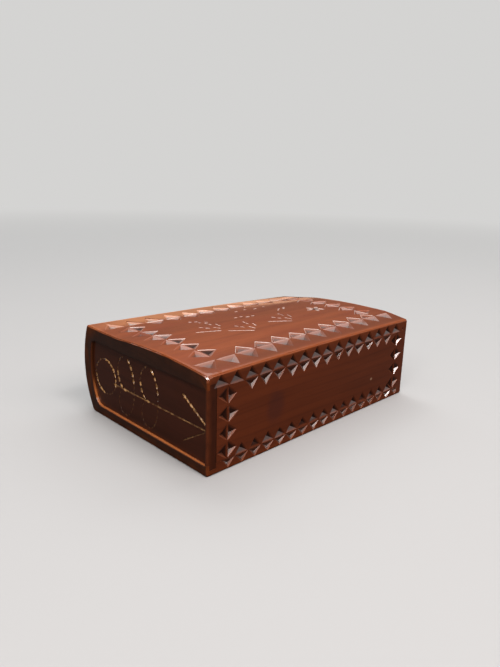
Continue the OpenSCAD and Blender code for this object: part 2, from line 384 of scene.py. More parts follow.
def shaped_block(s):
    """The closed book as one solid, its faces slightly uneven and its edges worn."""
    profile = BookProfile(s)
    outline, normals = profile.loop()
    mid_z = profile.edge_z / 2
    nick = Vector((NEAR_X, FORE_Y, profile.edge_z))
    rings = []
    for x, inset, lean in slices(s.worn_end):
        level = math.sqrt(1 - lean * lean)
        ring = []
        for (y, z), (ny, nz) in zip(outline, normals):
            p = Vector((x, y - ny * inset, z - nz * inset))
            n = Vector((lean, ny * level, nz * level))
            rise = min(max((p.z - mid_z) / (profile.edge_z - mid_z), 0), 1)
            sag = s.end_sag * (x / FAR_X) ** 2 * rise * rise
            p -= n * worn_away(s, p, n)
            p -= NICK_FACING * max((p - nick) @ NICK_FACING + s.corner_nick, 0)
            p.z += top_warp(p.x, p.y, profile.back_y) * rise * rise - sag
            ring.append((p.x, p.y, min(max(p.z, 0), CROWN_Z)))
        rings.append(ring)
    return skin("uncut_block", rings)


# ---------------------------------------------------------------- chip carving


def chip_cutter(deepest):
    """A unit chip cutter, flared by wear: 1 wide, 1 high towards +Y, and 1 deep at a given place."""
    deep = Vector((*deepest, -1))
    rim = [Vector((-0.5, 0, 0)), Vector((0.5, 0, 0)), Vector((0, 1, 0))]
    centre = sum(rim, Vector()) / 3
    lip = [deep + (p - deep) * 0.94 for p in rim]
    edge = [centre + (p - centre) * 1.03 for p in rim]
    raised = [centre + (p - centre) * 1.08 + Vector((0, 0, 0.3)) for p in rim]
    faces = [(0, 2, 1), (0, 3, 2), (0, 1, 3), (7, 8, 9)]
    for low in (1, 4):
        for i in range(3):
            j = (i + 1) % 3
            faces.append((low + i, low + j, low + 3 + j, low + 3 + i))
    return solid("chip_cutter", [deep, *lip, *edge, *raised], faces)


def gouge_cutter():
    """A unit gouge bite: an egg 1 wide, 1 long along Y and 1 deep, its middle level with the surface."""
    b = bmesh.new()
    lying = Matrix.Rotation(math.pi / 2, 4, "X")
    bmesh.ops.create_uvsphere(b, u_segments=12, v_segments=8, radius=1, matrix=lying)
    bmesh.ops.scale(b, vec=(0.5, 0.5, 1), verts=b.verts)
    mesh = bpy.data.meshes.new("gouge_cutter")
    b.to_mesh(mesh)
    b.free()
    return new_object("gouge_cutter", mesh)


class NodeMaker:
    """Short words for adding nodes to a tree and wiring them."""

    def __init__(self, tree):
        self.tree = tree

    def add(self, kind, inputs=(), **settings):
        made = self.tree.nodes.new(kind)
        for key, value in settings.items():
            setattr(made, key, value)
        for key, value in dict(inputs).items():
            self.feed(made.inputs[key], value)
        return made

    def feed(self, socket, value):
        if isinstance(value, bpy.types.NodeSocket):
            self.tree.links.new(value, socket)
        elif value is not None:
            socket.default_value = value

    def math(self, operation, *values):
        made = self.add("ShaderNodeMath", operation=operation)
        for socket, value in zip(made.inputs, values):
            self.feed(socket, value)
        return made.outputs[0]

    def times(self, value, *factors):
        for factor in factors:
            value = self.math("MULTIPLY", value, factor)
        return value

    def vector(self, operation, *values, scale=None):
        made = self.add("ShaderNodeVectorMath", operation=operation)
        for socket, value in zip(made.inputs, values):
            self.feed(socket, value)
        if scale is not None:
            self.feed(made.inputs["Scale"], scale)
        return made.outputs[0]

    def length(self, value):
        return self.add("ShaderNodeVectorMath", {0: value}, operation="LENGTH").outputs["Value"]


# Inputs that every carving tree has, and those of each tree
SHARED_SOCKETS = {
    "Surface": ("NodeSocketObject", None),
    "Cutter": ("NodeSocketObject", None),
    "Into": ("NodeSocketVector", None),
    "Width": ("NodeSocketFloat", 6 * MM),
    "Depth": ("NodeSocketFloat", 1 * MM),
    "Lean": ("NodeSocketFloat", 0.03),
    "Seed": ("NodeSocketInt", 1),
    "Finish": ("NodeSocketMaterial", None),
}
ROW_SOCKETS = {
    "Start": ("NodeSocketVector", None),
    "End": ("NodeSocketVector", None),
    "Count": ("NodeSocketInt", 2),
    "Pointing": ("NodeSocketVector", None),
    "Height": ("NodeSocketFloat", 4 * MM),
    "Slip": ("NodeSocketFloat", 0.1 * MM),
}
LINE_SOCKETS = {
    "Path": ("NodeSocketObject", None),
    "Spacing": ("NodeSocketFloat", 2 * MM),
    "Length": ("NodeSocketFloat", 3 * MM),
}
# How a copy's scale varies along each axis: the input that it varies, and its least and greatest share
CHIP_SCALES = {"X": ("Width", 0.95, 1.02), "Y": ("Height", 0.94, 1.05), "Z": ("Depth", 0.88, 1.1)}
BITE_SCALES = {"X": ("Width", 0.8, 1.1), "Y": ("Length", 0.85, 1.1), "Z": ("Depth", 0.55, 1.1)}
LEAN_SHARES = {"X": 1.0, "Y": 1.0, "Z": 1.4}
DROP_HEIGHT = 10 * MM
# Steps from a tree's seed to the seeds of what it varies
SCALE_SEED, SLIP_SEED = 10, 50


def new_geometry_tree(name, sockets):
    """A geometry tree with the shared inputs and its own, a maker for it, and what its inputs give."""
    tree = bpy.data.node_groups.new(name, "GeometryNodeTree")
    tree.interface.new_socket(name="Geometry", in_out="INPUT", socket_type="NodeSocketGeometry")
    for label, (kind, value) in (SHARED_SOCKETS | sockets).items():
        made = tree.interface.new_socket(name=label, in_out="INPUT", socket_type=kind)
        if value is not None:
            made.default_value = value
    tree.interface.new_socket(name="Geometry", in_out="OUTPUT", socket_type="NodeSocketGeometry")
    tree.is_modifier = True
    make = NodeMaker(tree)
    return tree, make, make.add("NodeGroupInput").outputs


def spread(make, given, step, low, high, kind="FLOAT"):
    """A random value for each copy, from the tree's seed and a step of its own."""
    made = make.add("FunctionNodeRandomValue", data_type=kind)
    first, result = {"FLOAT": (2, 1), "FLOAT_VECTOR": (0, 0)}[kind]
    make.feed(made.inputs[first], low)
    make.feed(made.inputs[first + 1], high)
    make.feed(made.inputs["Seed"], make.math("ADD", given["Seed"], step))
    return made.outputs[result]


def drop_and_cut(make, given, points, along, scales):
    """Drops points on the uncut surface, stands a cutter on each and cuts them all from the solid."""
    place = make.add("GeometryNodeInputPosition").outputs[0]
    above = make.vector("SUBTRACT", place, make.vector("SCALE", given["Into"], scale=DROP_HEIGHT))
    surface = make.add("GeometryNodeObjectInfo", {"Object": given["Surface"]}).outputs["Geometry"]
    fall = {"Target Geometry": surface, "Source Position": above, "Ray Direction": given["Into"]}
    drop = make.add("GeometryNodeRaycast", fall).outputs
    axes = {"Primary Axis": drop["Hit Normal"], "Secondary Axis": along}
    facing = make.add("FunctionNodeAxesToRotation", axes, primary_axis="Z", secondary_axis="Y")
    lean = make.add("ShaderNodeCombineXYZ")
    for step, (axis, share) in enumerate(LEAN_SHARES.items()):
        reach = make.times(given["Lean"], share)
        make.feed(lean.inputs[axis], spread(make, given, step, make.times(reach, -1.0), reach))
    turn = make.add("FunctionNodeEulerToRotation", {"Euler": lean.outputs[0]})
    turns = {"Rotation": facing.outputs[0], "Rotate By": turn.outputs[0]}
    leant = make.add("FunctionNodeRotateRotation", turns, rotation_space="LOCAL")
    scale = make.add("ShaderNodeCombineXYZ")
    for step, (axis, (label, low, high)) in enumerate(scales.items(), SCALE_SEED):
        make.feed(scale.inputs[axis], make.times(given[label], spread(make, given, step, low, high)))
    stored = make.add("GeometryNodeCaptureAttribute", {"Geometry": points})
    kept = {"Place": ("VECTOR", drop["Hit Position"]), "Facing": ("ROTATION", leant.outputs[0])}
    for label, (kind, value) in kept.items():
        stored.capture_items.new(kind, label)
        make.feed(stored.inputs[label], value)
    landing = {"Geometry": stored.outputs["Geometry"], "Position": stored.outputs["Place"]}
    landed = make.add("GeometryNodeSetPosition", landing)
    cutter = make.add("GeometryNodeObjectInfo", {"Object": given["Cutter"]}).outputs["Geometry"]
    stood = {"Points": landed.outputs[0], "Instance": cutter, "Scale": scale.outputs[0]}
    stood["Rotation"] = stored.outputs["Facing"]
    cutters = make.add("GeometryNodeInstanceOnPoints", stood)
    carved = make.add("GeometryNodeMeshBoolean", operation="DIFFERENCE", solver="MANIFOLD")
    make.feed(carved.inputs["Mesh 1"], given["Geometry"])
    make.feed(carved.inputs["Mesh 2"], cutters.outputs[0])
    whole = make.add("GeometryNodeRealizeInstances", {"Geometry": carved.outputs[0]})
    coloured = {"Geometry": whole.outputs[0], "Material": given["Finish"]}
    finished = make.add("GeometryNodeSetMaterial", coloured)
    make.add("NodeGroupOutput", {"Geometry": finished.outputs[0]})


def chip_row_tree():
    """Cuts a straight row of chips, all pointing one way."""
    tree, make, given = new_geometry_tree("Chip Row", ROW_SOCKETS)
    row = make.add("GeometryNodeMeshLine", mode="END_POINTS", count_mode="TOTAL")
    for socket, label in {"Count": "Count", "Start Location": "Start", "Offset": "End"}.items():
        make.feed(row.inputs[socket], given[label])
    slip = spread(make, given, SLIP_SEED, (-1, -1, -1), (1, 1, 1), "FLOAT_VECTOR")
    slipped = make.add("GeometryNodeSetPosition", {"Geometry": row.outputs[0]})
    make.feed(slipped.inputs["Offset"], make.vector("SCALE", slip, scale=given["Slip"]))
    drop_and_cut(make, given, slipped.outputs[0], given["Pointing"], CHIP_SCALES)
    return tree


def gouge_line_tree():
    """Cuts lines of overlapping gouge bites along the edges of a path."""
    tree, make, given = new_geometry_tree("Gouge Line", LINE_SOCKETS)
    path = make.add("GeometryNodeObjectInfo", {"Object": given["Path"]}).outputs["Geometry"]
    lines = make.add("GeometryNodeMeshToCurve", {"Mesh": path}).outputs[0]
    pitch = {"Curve": lines, "Length": given["Spacing"]}
    bites = make.add("GeometryNodeCurveToPoints", pitch, mode="LENGTH").outputs
    drop_and_cut(make, given, bites["Points"], bites["Tangent"], BITE_SCALES)
    return tree


def carve(piece, tree, values):
    """Puts a tree on a piece, sets its named inputs and keeps what it makes."""
    step = piece.modifiers.new(tree.name, "NODES")
    step.node_group = tree
    names = {s.name: s.identifier for s in tree.interface.items_tree if s.in_out == "INPUT"}
    for label, value in values.items():
        step[names[label]] = value
    settle(piece)


# Borders of chips, as distances in metres. The fore-edge's are measured from the near end.
EDGE_MARGIN = 0.6 * MM  # wood left between a chip's point and the edge of the board
UPPER_ROW = (6.2 * MM, 110.8 * MM, 16)  # first chip, last chip, number of chips
LOWER_ROW = (9.5 * MM, 114.5 * MM, 17)
UPRIGHT_COUNT = 4
UPRIGHT_NEAR = 9.3 * MM
UPRIGHT_FAR = 111.8 * MM
UPRIGHT_PITCH = 6.5 * MM
EDGE_CHIP_HEIGHT = 4.2 * MM
UPRIGHT_HEIGHT = 4.4 * MM
TOP_ROW = (7 * MM, 112.6 * MM, 12)
TOP_MARGIN = 10.2 * MM  # from the fore-edge to the top's front row
SHORT_NEAR = 12 * MM
SHORT_FAR = 108 * MM
SHORT_COUNT = 6
TOP_OUTER_HEIGHT = 6.8 * MM
TOP_INNER_HEIGHT = 6.0 * MM
UP, DOWN, LEFT, RIGHT = (0, 0, 1), (0, 0, -1), (-1, 0, 0), (1, 0, 0)
# Where a chip is deepest, as shares of its width (from its middle) and of its height
DEEP_OUTER = (-0.1, 0.5)
DEEP_INNER = (-0.06, 0.62)
DEEP_LOWER = (-0.074, 0.62)
DEEP_UPRIGHT = {LEFT: (-0.12, 0.35), RIGHT: (0.15, 0.36)}
DEEP_TOP = (0.0, 0.43)
FORWARD, BACKWARD = (0, -1, 0), (0, 1, 0)  # towards the fore-edge and towards the spine


def row_step(row):
    return (row[1] - row[0]) / (row[2] - 1)


def inner_run(row, first, last):
    """The part of a row from one of its chips to another, counted from 0."""
    step = row_step(row)
    return (row[0] + first * step, row[0] + last * step, last - first + 1)


def fore_edge_rows(c, edge_z):
    """Rows of chips on the fore-edge: start, end, count, pointing, width, height, where deepest."""
    half = c.ridge / 2
    upper_inner = inner_run(UPPER_ROW, 2, UPPER_ROW[2] - 2)
    lower_inner = inner_run(LOWER_ROW, 1, LOWER_ROW[2] - 2)
    upper_width = row_step(UPPER_ROW) - c.ridge
    lower_width = row_step(LOWER_ROW) - c.ridge
    level_rows = [
        (UPPER_ROW, CEILING_Z + half, UP, upper_width, edge_z - CEILING_Z - half - EDGE_MARGIN, DEEP_OUTER),
        (upper_inner, CEILING_Z - half, DOWN, upper_width, EDGE_CHIP_HEIGHT, DEEP_INNER),
        (LOWER_ROW, FLOOR_Z - half, DOWN, lower_width, FLOOR_Z - half - EDGE_MARGIN, DEEP_LOWER),
        (lower_inner, FLOOR_Z + half, UP, lower_width, EDGE_CHIP_HEIGHT, DEEP_OUTER),
    ]
    for (first, last, count), z, *chip in level_rows:
        yield (NEAR_X + first, FORE_Y, z), (NEAR_X + last, FORE_Y, z), count, *chip
    low = FLOOR_Z + c.ridge + UPRIGHT_PITCH / 2
    high = CEILING_Z - c.ridge - UPRIGHT_PITCH / 2
    width = (high - low) / (UPRIGHT_COUNT - 1) - c.ridge
    for column in (UPRIGHT_NEAR, UPRIGHT_FAR):
        for side, pointing in ((-half, LEFT), (half, RIGHT)):
            x = NEAR_X + column + side
            deepest = DEEP_UPRIGHT[pointing]
            yield (x, FORE_Y, low), (x, FORE_Y, high), UPRIGHT_COUNT, pointing, width, UPRIGHT_HEIGHT, deepest


def top_rows(c):
    """Rows of chips on the top: start, end, count, pointing, width, height, where deepest."""
    half = c.ridge / 2
    base = FORE_Y + TOP_MARGIN
    inner = inner_run(TOP_ROW, 2, TOP_ROW[2] - 2)
    width = row_step(TOP_ROW) - c.ridge
    long_rows = [
        (TOP_ROW, base - half, FORWARD, TOP_OUTER_HEIGHT),
        (inner, base + half, BACKWARD, TOP_INNER_HEIGHT),
        (inner, SEAM_Y - half, FORWARD, TOP_INNER_HEIGHT),
        (TOP_ROW, SEAM_Y + half, BACKWARD, TOP_OUTER_HEIGHT),
    ]
    for (first, last, count), y, pointing, height in long_rows:
        start, end = (NEAR_X + first, y, CROWN_Z), (NEAR_X + last, y, CROWN_Z)
        yield start, end, count, pointing, width, height, DEEP_TOP
    low = base + TOP_OUTER_HEIGHT
    high = SEAM_Y - TOP_INNER_HEIGHT
    width = (high - low) / (SHORT_COUNT - 1) - c.ridge
    for column in (SHORT_NEAR, SHORT_FAR):
        for side, pointing, height in ((-half, LEFT, TOP_OUTER_HEIGHT), (half, RIGHT, TOP_INNER_HEIGHT)):
            x = NEAR_X + column + side
            yield (x, low, CROWN_Z), (x, high, CROWN_Z), SHORT_COUNT, pointing, width, height, DEEP_TOP


def path_mesh(name, lines):
    """A path of edges through lists of points, closed where a list ends where it began."""
    points, edges = [], []
    for places in lines:
        closed = (Vector(places[0]) - Vector(places[-1])).length < 0.01 * MM
        places = places[:-1] if closed else places
        first = len(points)
        points += places
        edges += [(first + i, first + i + 1) for i in range(len(places) - 1)]
        if closed:
            edges.append((first + len(places) - 1, first))
    mesh = bpy.data.meshes.new(name)
    mesh.from_pydata([tuple(p) for p in points], edges, [])
    return new_object(name, mesh)


# ---------------------------------------------------------------- carving the block


def lay_rows(piece, surface, rows, tree, into, depth, first_seed):
    """Cuts rows of chips, each with the next seed."""
    for number, (start, end, count, pointing, width, height, deepest) in enumerate(rows):
        cutter = chip_cutter(deepest)
        values = {"Surface": surface, "Cutter": cutter, "Into": into, "Depth": depth}
        values |= {"Start": start, "End": end, "Count": count, "Pointing": pointing}
        values |= {"Width": width, "Height": height, "Slip": carving().slip, "Seed": first_seed + number}
        carve(piece, tree, values)
        scrap(cutter)


# Kinds of gouge bites: width, length, depth and spacing in mm, how far they lean, and their seed
BITES = {
    "leaf": (0.75, 2.4, 0.15, 1.7, 0.02, 61),
    "sprig": (1.0, 2.0, 0.24, 5, 0.02, 62),
    "petal": (2.1, 4.2, 0.42, 5, 0.02, 63),
    "eye": (1.9, 1.9, 1.2, 5, 0.02, 64),
    "bold": (1.5, 2.5, 0.85, 2.0, 0.02, 71),
    "shaft": (0.9, 3.4, 0.3, 1.4, 0.01, 72),
    "upper_barb": (1.5, 2.7, 0.85, 2.15, 0.02, 73),
    "lower_barb": (0.7, 3.4, 0.22, 1.3, 0.02, 74),
    "lobe": (0.75, 2, 0.17, 1.95, 0.02, 75),
    "light": (1.0, 2.0, 0.2, 2.0, 0.02, 76),
}


def gouge(piece, surface, tree, into, kind, lines):
    """Cuts lines of one kind of bite, along paths that lie on the surface or above it."""
    width, length, depth, spacing, lean, seed = BITES[kind]
    cutter, path = gouge_cutter(), path_mesh("gouge_path", lines)
    values = {"Surface": surface, "Cutter": cutter, "Path": path, "Into": into, "Lean": lean, "Seed": seed}
    sizes = {"Width": width, "Length": length, "Depth": depth, "Spacing": spacing}
    carve(piece, tree, values | {label: value * MM for label, value in sizes.items()})
    scrap(cutter)
    scrap(path)


# The top's small ornaments, in mm and radians. A place is its distance from the near end and its Y
# Sprays by place and heading, and their leaves by turn, start and end
SPRAYS = ((38.5, -8.0, 2.7), (48.5, -17.0, 2.5), (71.5, -16.5, 2.55))
LEAVES = ((0, 4.2, 12.8), (0.62, 9.2, 12.0), (1.15, 12.0, 14.6), (1.35, 8.4, 10.6), (0.9, 5.0, 6.8))
# Sprigs by place, heading and length, and their bites as shares of its length and width
SPRIGS = ((36, 14, -0.95, 7), (55, 6, -0.35, 8.5), (64.5, 16, -0.07, 17), (80, 4, 0.3, 7))
SPRIG_BITES = ((0.0, 0.0), (0.35, 0.5), (0.65, -0.4), (1.0, 0.3))
SPRIG_WIDTH = 1.6
SHORT_PATH = 0.5  # long enough for one bite
ROSETTE = (34.6, -6.0)  # its middle in the frame's X and Y
PETALS = 5
FIRST_PETAL = 0.5
PETAL_PATH = (2.7, 3.2)


def on_top(from_near, y):
    return Vector((NEAR_X + from_near * MM, y * MM, CROWN_Z))


def heading_along(angle):
    return Vector((math.cos(angle), math.sin(angle), 0))


def fan(root, heading):
    """A spray of leaf strokes round a root: one long leaf, and shorter ones turning away from it."""
    for turn, near, far in LEAVES:
        out = heading_along(heading - turn)
        yield [root + out * near * MM, root + out * far * MM]


def sprig(root, heading, length):
    """A few short bites along a line and beside it."""
    along = heading_along(heading)
    across = Vector((-along.y, along.x, 0))
    for share, side in SPRIG_BITES:
        place = root + along * length * share + across * side * SPRIG_WIDTH * MM
        yield [place, place + along * SHORT_PATH * MM]


def decorate_top(piece, surface, tree):
    """Small worn sprays and one rosette, lightly gouged inside the top's border."""
    leaves = []
    for *place, heading in SPRAYS:
        leaves += fan(on_top(*place), heading)
    sprigs = []
    for *place, heading, length in SPRIGS:
        sprigs += sprig(on_top(*place), heading, length * MM)
    eye = Vector((*(c * MM for c in ROSETTE), CROWN_Z))
    petals = []
    for i in range(PETALS):
        out = heading_along(FIRST_PETAL + i * math.tau / PETALS)
        petals.append([eye + out * reach * MM for reach in PETAL_PATH])
    centre = [[eye, eye + Vector((SHORT_PATH * MM, 0, 0))]]
    for kind, lines in {"leaf": leaves, "sprig": sprigs, "petal": petals, "eye": centre}.items():
        gouge(piece, surface, tree, DOWN, kind, lines)


def half_oval(x, centre, half_width, half_height, start, end, steps=24):
    """Points on an oval in the panel's plane, from one angle to another, in degrees."""
    turns = np.radians(np.linspace(start, end, steps + 1))
    y, z = centre
    return [Vector((x, y + half_width * math.cos(t), z + half_height * math.sin(t))) for t in turns]


def arrow_lines():
    """The lines of the sliding end's arrow, in the order of cutting, by the kind of bite that cuts them."""
    s = shape()
    x = SLIDE_LOW.x + s.panel_recess
    middle_z = (FLOOR_Z + CEILING_Z) / 2
    shaft_z = middle_z - 1.5 * MM
    ring_y = hollow_outline(0, FORE_Y)[2][0] - 2.3 * MM
    ring_radius = 7.4 * MM

    def ring(start, end):
        return half_oval(x, (ring_y, middle_z), ring_radius, ring_radius, start, end)

    tall, wide = 12 * MM, 6.2 * MM
    lobe_wide, lobe_tall = 5.1 * MM, (tall + middle_z - shaft_z) / 2
    lower_wide, lower_tall = lobe_wide * 0.9, tall - lobe_tall
    bold, light = [ring(95, 195), ring(285, 352)], [ring(195, 285), ring(352, 455)]
    lobes = []
    for y in (ring_y - 14.5 * MM, ring_y - 30.2 * MM):
        loop = (x, (y, middle_z), -wide, tall)
        upper_lobe = (x, (y, shaft_z + lobe_tall), lobe_wide, lobe_tall)
        bold += [half_oval(*loop, 18, 64), half_oval(*upper_lobe, -85, -8)]
        light += [half_oval(*loop, -30, 18), half_oval(*upper_lobe, -8, 72)]
        lobes.append(half_oval(*loop, -90, -30, 36))
        lobes.append(half_oval(x, (y, shaft_z - lower_tall), lower_wide, lower_tall, -90, 90))
    tip_y = FORE_Y + s.lip_width + 1.2 * MM
    shaft = [Vector((x, tip_y, shaft_z)), Vector((x, ring_y - ring_radius, shaft_z))]
    barb, tilt = 13 * MM, math.radians(31)

    def barb_line(z, angle):
        end = Vector((x, tip_y + barb * math.cos(angle), z + barb * math.sin(angle)))
        return [Vector((x, tip_y, z)), end]

    upper = barb_line(shaft_z + 2.2 * MM, tilt)
    lower = barb_line(shaft_z - 0.7 * MM, -tilt)
    lines = {"light": light, "bold": bold, "lobe": lobes, "shaft": [shaft]}
    return lines | {"upper_barb": [upper], "lower_barb": [lower]}


def carve_arrow(piece, surface):
    tree = gouge_line_tree()
    for kind, lines in arrow_lines().items():
        gouge(piece, surface, tree, RIGHT, kind, lines)
    bpy.data.node_groups.remove(tree)


# ---------------------------------------------------------------- sawing the block into boards

GLUE_GAP = 0.015 * MM
SLIDE_GAP = 0.04 * MM  # on each side of the sliding end, so that its joints show as fine lines
PAST = 1 * MM  # how far a cut runs past the wood
# How far the hollow's rim and the lip's edge are worn back, in mm, at depths into the end
WORN_LEDGE = ((-1.0, 1.5), (0.0, 0.6), (0.22, 0.26), (0.5, 0.07), (0.85, 0.0))
WORN_LIP = ((-1.0, 0.9), (0.0, 0.34), (0.2, 0.1), (0.55, 0.0))


def groove_tool(near):
    """The groove that an end panel sits in."""
    recess = shape().panel_recess
    if near:
        ends = (NEAR_X + recess - SLIDE_GAP, NEAR_X + PANEL_BACK + SLIDE_GAP)
        out = GROOVE_DEPTH + SLIDE_GAP
    else:
        ends = (FAR_X - PANEL_BACK, FAR_X - recess)
        out = GROOVE_DEPTH
    outline = hollow_outline(out, FORE_Y - PAST)
    return loft("groove_tool", [(x, outline) for x in ends])


def core_tool():
    """The hollow, a little wider where its rims are worn at the two ends."""
    fore_y = FORE_Y + shape().lip_width
    stations = [(NEAR_X + d * MM, hollow_outline(w * MM, fore_y)) for d, w in WORN_LEDGE]
    stations += [(FAR_X - d * MM, hollow_outline(w * MM, fore_y)) for d, w in reversed(WORN_LEDGE)]
    return loft("core_tool", stations)


def sawn_board(name, low, high, grooved=True):
    """A board from the carved block: what lies in a box, less the grooves and the hollow."""
    board = copy_of(bpy.data.objects["carved_block"], name)
    cut(board, "INTERSECT", block("zone", low, high))
    if grooved:
        cut(board, "DIFFERENCE", groove_tool(True))
        cut(board, "DIFFERENCE", groove_tool(False))
        cut(board, "DIFFERENCE", core_tool())
    return board


def end_panel(name, gap):
    """An end panel cut from the block's near end, with the lip that stands up along its fore-edge."""
    s = shape()
    outline = hollow_outline(GROOVE_DEPTH - gap, FORE_Y - PAST)
    body = loft("panel_body", [(NEAR_X + s.panel_recess, outline), (NEAR_X + PANEL_BACK, outline)])
    low_z, high_z = FLOOR_Z + gap, CEILING_Z - gap
    stations = []
    for depth, wear in (*((d * MM, w) for d, w in WORN_LIP), (s.panel_recess + GLUE_GAP, 0.0)):
        y = FORE_Y + s.lip_width - wear * MM
        corners = [(FORE_Y - PAST, low_z), (y, low_z), (y, high_z), (FORE_Y - PAST, high_z)]
        stations.append((NEAR_X + depth, corners))
    cut(body, "UNION", loft("lip", stations))
    panel = copy_of(bpy.data.objects["carved_block"], name)
    cut(panel, "INTERSECT", body)
    return panel


def turned_to_far_end(panel):
    """Mirrors a panel to the far end and turns its faces the right way out."""
    panel.data.transform(Matrix.Scale(-1, 4, Vector((1, 0, 0))))
    face_outwards(panel.data)
    return panel


# ---------------------------------------------------------------- what a surface knows about itself


RAW_DEPTH = 1.45  # mm: nothing on the outside is carved as deep as this
EDGE_REACH = 1.7 * MM  # how far from an edge its wear is felt
SHARP_ANGLE = math.radians(14)


def surface_tree(piece):
    mesh = piece.data
    return BVHTree.FromPolygons([v.co for v in mesh.vertices], [p.vertices for p in mesh.polygons])


def edge_wear(p, profile):
    """From 0 on the open faces to 1 on the box's outer edges."""
    along = min(p.x - NEAR_X, FAR_X - p.x)
    from_spine = profile.spine_radius - (Vector((p.y, p.z)) - Vector(profile.spine)).length
    depth = sorted([along, p.y - FORE_Y, from_spine if p.y > 0 else 1.0, profile.top_at(p.y) - p.z, p.z])
    return min(max(1 - depth[1] / EDGE_REACH, 0), 1)


def finish_piece(piece, uncut, material, is_raw):
    """Stores each point's carved depth in mm and its wear, and gives the outside and the raw faces woods."""
    mesh = piece.data
    profile = BookProfile(shape())
    depths = [uncut.find_nearest(v.co)[3] / MM for v in mesh.vertices]
    wears = [edge_wear(v.co, profile) for v in mesh.vertices]
    for name, values in {"carved_depth": depths, "edge_wear": wears}.items():
        mesh.attributes.new(name, "FLOAT", "POINT").data.foreach_set("value", values)
    mesh.materials.clear()
    mesh.materials.append(material)
    mesh.materials.append(raw_wood())
    for face in mesh.polygons:
        face.use_smooth = True
        face.material_index = int(is_raw(face.center, min(depths[i] for i in face.vertices)))
    mesh.set_sharp_from_angle(angle=SHARP_ANGLE)


def inside_board(_centre, depth):
    return depth > RAW_DEPTH


def inside_panel(centre, _depth):
    return abs(centre.x) < FAR_X - PANEL_BACK + 0.05 * MM


# ---------------------------------------------------------------- materials


CHIPS_REACH = TOP_INNER_HEIGHT + 0.4 * MM
# Areas of the top in metres: left, right, front and back
BORDER = (NEAR_X + SHORT_NEAR, NEAR_X + SHORT_FAR, FORE_Y + TOP_MARGIN, SEAM_Y)
NEAR_ROW = (BORDER[0], BORDER[0] + TOP_INNER_HEIGHT, BORDER[2], BORDER[3])
FIELD = tuple(edge + way * CHIPS_REACH for edge, way in zip(BORDER, (1, -1, 1, -1)))
LEDGE_FROM = FAR_X - 1.35 * MM  # nothing but the ledges round the end panels is cut deep beyond this
CORNER = Vector((NEAR_X, FORE_Y, CROWN_Z)) / MM - Vector((0, 0, 2))  # 2 mm below the near top corner, in mm
# Sizes of the wood's features along X, Y and Z, in mm
WANDER = (70.0, 16.0, 16.0)
STREAKS = (55.0, 4.2, 4.2)
GRAIN = (16.0, 0.42, 0.42)
PORES = (3.2, 0.2, 0.2)
PATCHES = (9.0, 5.0, 5.0)
RED_PATCHES = (22.0, 8.0, 8.0)
BARED_SPOTS = (1.5, 1.3, 1.3)
RING_PITCH = 2.6  # between two year rings, in mm


def new_material(name):
    material = bpy.data.materials.new(name)
    material.use_nodes = True
    tree = material.node_tree
    tree.nodes.clear()
    return material, NodeMaker(tree)


def mixed(make, factor, a, b):
    made = make.add("ShaderNodeMix", {0: factor, 6: a, 7: b}, data_type="RGBA")
    return made.outputs[2]


def ramp(make, value, low, high, start=0.0, end=1.0):
    """Maps a value smoothly from low..high to start..end."""
    values = dict(enumerate((value, low, high, start, end)))
    return make.add("ShaderNodeMapRange", values, interpolation_type="SMOOTHSTEP").outputs[0]


def noise_of(make, place, scale, detail=2.0, roughness=0.5):
    """Noise from -1 to 1 on a place in mm; scale is the size of its features along X, Y and Z, in mm."""
    values = {"Vector": make.vector("DIVIDE", place, scale), "Scale": 1.0, "Detail": detail}
    made = make.add("ShaderNodeTexNoise", values | {"Roughness": roughness})
    return make.math("MULTIPLY_ADD", made.outputs[0], 2.0, -1.0)


def rgba(colour):
    return (*colour, 1.0)


def tinted(colour, gain, warmth=0.0):
    """A colour made lighter or darker, and warmer by a share."""
    r, g, b = colour
    return (min(1, r * gain * (1 + warmth)), min(1, g * gain), min(1, b * gain * (1 - warmth)), 1.0)


def place_in_mm(make):
    return make.vector("SCALE", make.add("ShaderNodeTexCoord").outputs["Object"], scale=1 / MM)


class Surface:
    """What a wood reads of the point it colours: place in mm, facing, carved depth, wear and patchiness."""

    def __init__(self, make):
        self.place = place_in_mm(make)
        self.at = make.add("ShaderNodeSeparateXYZ", {"Vector": self.place}).outputs
        normal = make.add("ShaderNodeNewGeometry").outputs["Normal"]
        self.facing = make.add("ShaderNodeSeparateXYZ", {"Vector": normal}).outputs
        self.depth = make.add("ShaderNodeAttribute", attribute_name="carved_depth").outputs["Fac"]
        self.wear = make.add("ShaderNodeAttribute", attribute_name="edge_wear").outputs["Fac"]
        self.patchy = noise_of(make, self.place, PATCHES, 3.0)
        self.on_top = ramp(make, self.facing["Z"], 0.3, 0.8)
        self.forward = ramp(make, self.facing["Y"], -0.45, -0.1, 0.75, 0.0)


def wood_figure(make, place, pith):
    """The wood's lightness from its rings, streaks and grain, then its grain, then its fine pores."""
    wander = noise_of(make, place, WANDER, 1.0)
    from_pith = make.vector("SUBTRACT", place, (0.0, *pith))
    radius = make.length(make.vector("MULTIPLY", from_pith, (0.0, 1.0, 1.0)))
    ring = make.math("ADD", make.math("DIVIDE", radius, RING_PITCH), make.times(wander, 0.9))
    late = ramp(make, make.math("PINGPONG", ring, 0.5), 0.3, 0.5)
    streak = noise_of(make, place, STREAKS, 3.0)
    grain = noise_of(make, place, GRAIN, 3.0, 0.6)
    pores = ramp(make, noise_of(make, place, PORES, 1.0), 0.34, 0.6)
    dark = make.math("MULTIPLY_ADD", streak, 0.75, make.times(grain, 0.3))
    dark = make.math("MULTIPLY_ADD", late, 0.25, dark)
    return ramp(make, dark, -1.0, 1.1, 1.0, 0.0), grain, pores


